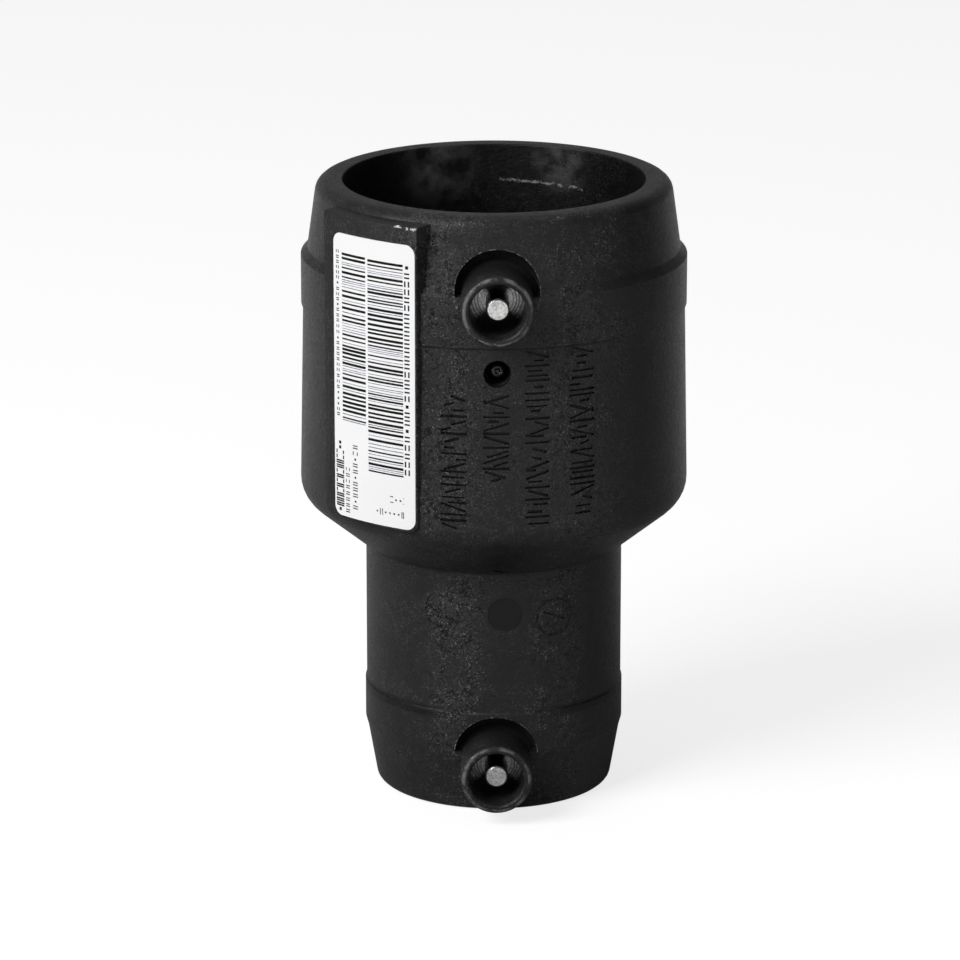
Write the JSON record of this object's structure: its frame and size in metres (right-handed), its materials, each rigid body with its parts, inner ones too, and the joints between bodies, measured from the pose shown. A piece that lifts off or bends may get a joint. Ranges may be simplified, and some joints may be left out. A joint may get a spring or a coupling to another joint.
{
  "type": "electrofusion reducer coupler",
  "caption": "Black plastic pipe coupler that steps from a wide socket to a narrow one, with heating wire in both sockets and two shrouded welding terminals on one side.",
  "frame": {"origin": "centre of the small socket's mouth, on which the coupler stands", "axes": "+Z along the pipe axis, up towards the large socket's mouth; -Y the way the welding terminals face"},
  "size_m": [0.0652, 0.0699, 0.1047],
  "materials": {
    "black_polyethylene": "moulded black polyethylene, faint sheen, fine pitting",
    "tinned_brass": "turned and tin plated, bright",
    "resistance_wire": "drawn wire, dull bright",
    "label_film": "white adhesive film with black print"
  },
  "bodies": {
    "root": {"body": "black_polyethylene", "upper_contact_pin": "tinned_brass", "lower_contact_pin": "tinned_brass", "heating_wire": "resistance_wire", "fusion_indicator": "black_polyethylene", "label": "label_film"}
  },
  "joints": []
}
